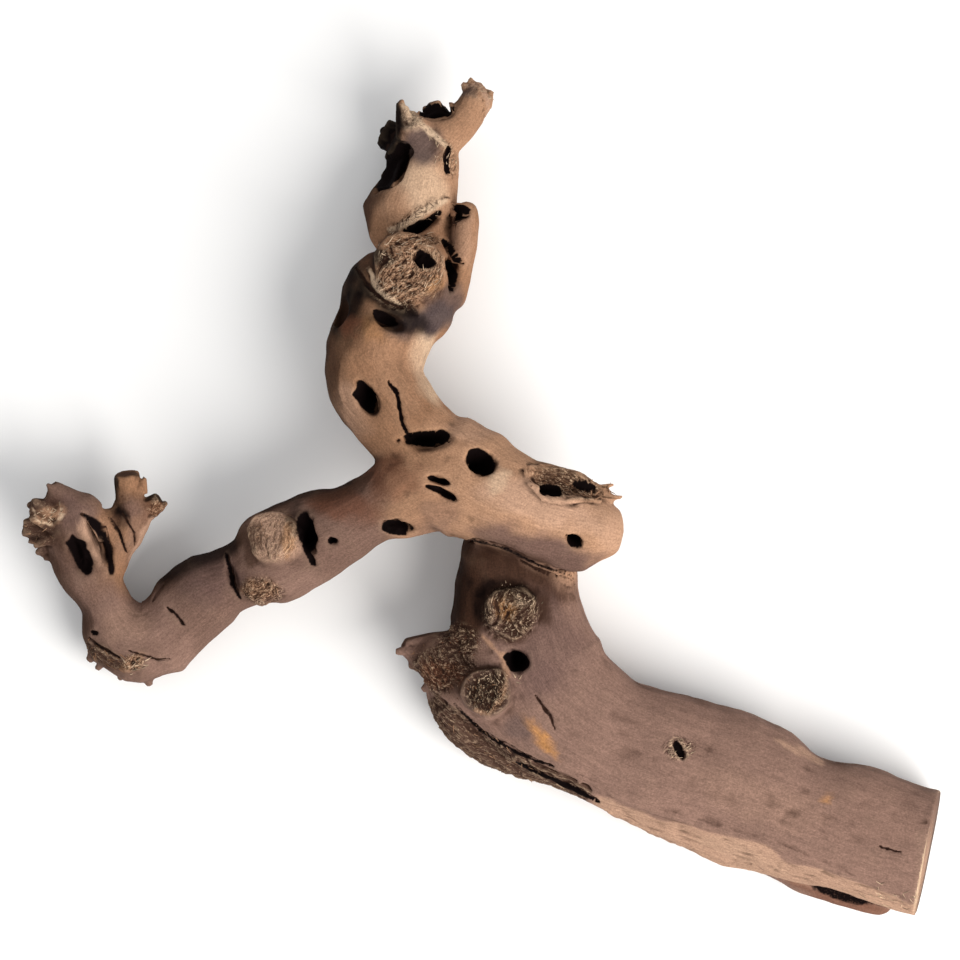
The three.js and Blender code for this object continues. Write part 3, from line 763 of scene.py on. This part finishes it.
def addFibre(shape, start, way, rise, length, thick):  # a bent strand that narrows to a point
    side = rise.cross(way).normalized()
    turned = Matrix((side, rise, way)).transposed().to_4x4()
    ring = bmesh.ops.create_circle(
        shape, cap_ends=True, segments=4, radius=thick * mm, matrix=Matrix.Translation(start) @ turned)["verts"]
    for step, narrow in enumerate((0.85, 0.65, 0.2)):
        edges = list({e for v in ring for e in v.link_edges if e.other_vert(v) in ring})
        made = bmesh.ops.extrude_edge_only(shape, edges=edges)["geom"]
        ring = [v for v in made if isinstance(v, bmesh.types.BMVert)]
        bend = way * length / 3 + rise * length * 0.06 * (1 - step)
        bmesh.ops.translate(shape, verts=ring, vec=bend * mm)
        middle = sum((v.co for v in ring), Vector()) / len(ring)
        bmesh.ops.scale(
            shape, verts=ring, vec=(narrow, narrow, narrow), space=Matrix.Translation(-middle))
    bmesh.ops.contextual_create(shape, geom=ring)


fibreRules = {"above": 120, "steepest": 0.15, "holeShare": 0.2, "sunk": 0.3, "seed": 7}


def tornFibres(surface):
    shape, shades = bmesh.new(), []
    chance = np.random.RandomState(fibreRules["seed"])
    for x, y, halfX, halfY, turn, count, length, thick, tone, lift in tufts.values():
        angle = np.radians(turn)
        for _ in range(count):
            u, v = chance.uniform(-1, 1, 2)
            spread, stretch, shade = chance.normal(0, 0.7), chance.uniform(0.4, 1.3), chance.uniform(0.2, 1.1)
            down = Vector((x + u * halfX * np.cos(angle) - v * halfY * np.sin(angle),
                           y + u * halfX * np.sin(angle) + v * halfY * np.cos(angle), fibreRules["above"])) * mm
            spot, normal, face, gap = surface.ray_cast(down, Vector((0, 0, -1)))
            if spot is None or normal.z < fibreRules["steepest"]:
                continue
            inHole = max(ovalMask(np.array([spot]) / mm, hole)[0] for hole in holes.values())
            if inHole > fibreRules["holeShare"]:
                continue
            way = Vector((np.cos(angle + spread), np.sin(angle + spread), 0))
            way = (way - normal * way.dot(normal)).normalized()
            way = (way + normal * lift).normalized()
            rise = (normal - way * normal.dot(way)).normalized()
            before = len(shape.verts)
            addFibre(shape, spot - normal * thick * fibreRules["sunk"] * mm, way, rise, length * stretch, thick)
            colour = np.array(tones[tone]) * shade
            shades += [[*colour, 1.0]] * (len(shape.verts) - before)
    fibres = asObject("tornFibres", shape)
    store(fibres.data, "tone", np.array(shades))
    return fibres


surface = BVHTree.FromObject(root, bpy.context.evaluated_depsgraph_get())
fibres = tornFibres(surface)
print("fibres:", len(fibres.data.polygons), "faces")


# finishes; bark and hole also serve as painted shade in creases and hollows, pale as painted highlight on raised torn
# places
finish = {
    "bark": (0.030, 0.014, 0.009, 1), "pale": (0.62, 0.44, 0.29, 1), "hole": (0.004, 0.002, 0.002, 1),
    "roughness": 0.8,
}


class WoodNodes:
    def __init__(self, name):
        self.material = bpy.data.materials.new(name)
        self.material.use_nodes = True
        self.tree = self.material.node_tree
        self.shader = self.tree.nodes["Principled BSDF"]
        self.shader.inputs["Roughness"].default_value = finish["roughness"]
        self.shader.inputs["Specular IOR Level"].default_value = 0.03

    def set(self, socket, value):
        if isinstance(value, (int, float, tuple)):
            socket.default_value = value
        else:
            self.tree.links.new(value, socket)

    def layer(self, name, output="Fac"):
        made = self.tree.nodes.new("ShaderNodeAttribute")
        made.attribute_name = name
        return made.outputs[output]

    def maths(self, kind, a, b, clamp=False):
        made = self.tree.nodes.new("ShaderNodeMath")
        made.operation = kind
        made.use_clamp = clamp
        self.set(made.inputs[0], a)
        self.set(made.inputs[1], b)
        return made.outputs[0]

    def mixed(self, share, a, b, kind="MIX"):
        made = self.tree.nodes.new("ShaderNodeMix")
        made.data_type = "RGBA"
        made.blend_type = kind
        self.set(made.inputs[0], share)
        self.set(made.inputs[6], a)
        self.set(made.inputs[7], b)
        return made.outputs[2]

    def scaled(self, vector, size):
        made = self.tree.nodes.new("ShaderNodeMapping")
        made.inputs["Scale"].default_value = size
        self.set(made.inputs["Vector"], vector)
        return made.outputs["Vector"]

    def noise(self, vector, scale, detail=3, rough=0.6, warp=0.0):
        made = self.tree.nodes.new("ShaderNodeTexNoise")
        made.inputs["Scale"].default_value = scale
        made.inputs["Detail"].default_value = detail
        made.inputs["Roughness"].default_value = rough
        made.inputs["Distortion"].default_value = warp
        self.set(made.inputs["Vector"], vector)
        return made.outputs["Fac"]

    def ranged(self, value, low, high, toLow=0.0, toHigh=1.0):
        made = self.tree.nodes.new("ShaderNodeMapRange")
        self.set(made.inputs["Value"], value)
        for name, number in (("From Min", low), ("From Max", high), ("To Min", toLow), ("To Max", toHigh)):
            made.inputs[name].default_value = number
        return made.outputs["Result"]

    def dull(self, tone, value, low, high, darkest, lightest):  # a tone made darker and lighter by a pattern
        span = self.ranged(value, low, high, darkest, lightest)
        return self.mixed(1.0, tone, span, "MULTIPLY")

    def bump(self, height, strength, distance):
        made = self.tree.nodes.new("ShaderNodeBump")
        made.inputs["Strength"].default_value = strength
        made.inputs["Distance"].default_value = distance
        self.set(made.inputs["Height"], height)
        self.set(self.shader.inputs["Normal"], made.outputs["Normal"])


def dryWood():
    kit = WoodNodes("dryVineWood")
    place = kit.tree.nodes.new("ShaderNodeTexCoord").outputs["Object"]
    grain = kit.layer("grain", "Vector")
    streaks = kit.noise(kit.scaled(grain, (0.05, 0.5, 1)), 1.0, 5)
    hairs = kit.noise(kit.scaled(grain, (0.22, 2.4, 1)), 1.0, 4, 0.65)
    clouds = kit.noise(place, 32, 3)
    pits = kit.noise(place, 1100, 3, 0.7)
    torn = kit.layer("torn")
    strands = kit.noise(kit.layer("strands", "Vector"), 1.3, 4, 0.75, 0.8)

    tone = kit.layer("tone", "Color")
    tone = kit.dull(tone, streaks, 0.3, 0.7, 0.86, 1.10)
    tone = kit.dull(tone, hairs, 0.3, 0.7, 0.80, 1.16)
    tone = kit.dull(tone, clouds, 0.3, 0.7, 0.92, 1.08)
    tone = kit.dull(tone, pits, 0.3, 0.7, 0.72, 1.24)
    # dark gaps between torn strands, partly painted shade, and pale shreds along them
    gaps = kit.maths("MULTIPLY", torn, kit.ranged(strands, 0.53, 0.44, 0.0, 0.95))
    shreds = kit.maths("MULTIPLY", torn, kit.ranged(strands, 0.57, 0.66, 0.0, 0.9))
    # painted highlight: raised torn places made paler
    raised = kit.maths("MULTIPLY", kit.ranged(kit.layer("fine"), 0.15, 0.9), kit.ranged(torn, 0.0, 0.6, 0.04, 0.3))
    tone = kit.mixed(raised, tone, finish["pale"])
    tone = kit.mixed(gaps, tone, finish["bark"])
    tone = kit.mixed(shreds, tone, finish["pale"])
    # painted shade: fine creases and broad hollows darkened towards bark, holes and cracks towards near black
    tone = kit.mixed(kit.ranged(kit.layer("fine"), -0.08, -0.7), tone, finish["bark"])
    tone = kit.mixed(kit.ranged(kit.layer("broad"), -0.34, -1.2, 0.0, 0.9), tone, finish["bark"])
    ragged = kit.maths("ADD", kit.layer("hollow"), kit.ranged(pits, 0.3, 0.7, -0.12, 0.12))
    tone = kit.mixed(kit.ranged(ragged, 0.3, 0.6), tone, finish["hole"])
    kit.set(kit.shader.inputs["Base Color"], tone)

    height = kit.maths("ADD", kit.maths("MULTIPLY", hairs, 0.7), kit.maths("MULTIPLY", pits, 0.3))
    height = kit.maths("ADD", height, kit.maths("MULTIPLY", kit.maths("MULTIPLY", torn, strands), 2.5))
    kit.bump(height, 0.5, 0.0007)
    return kit.material


def fibreWood():
    kit = WoodNodes("fibreWood")
    place = kit.tree.nodes.new("ShaderNodeTexCoord").outputs["Object"]
    tone = kit.dull(kit.layer("tone", "Color"), kit.noise(place, 700, 3), 0.3, 0.7, 0.6, 1.2)
    kit.set(kit.shader.inputs["Base Color"], tone)
    kit.bump(kit.noise(place, 1500, 2), 0.3, 0.0003)
    return kit.material


mesh.materials.clear()
mesh.materials.append(dryWood())
fibres.data.materials.append(fibreWood())
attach(root, "root")
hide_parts("dry_root")
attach(fibres, "root")
print("finishes on")
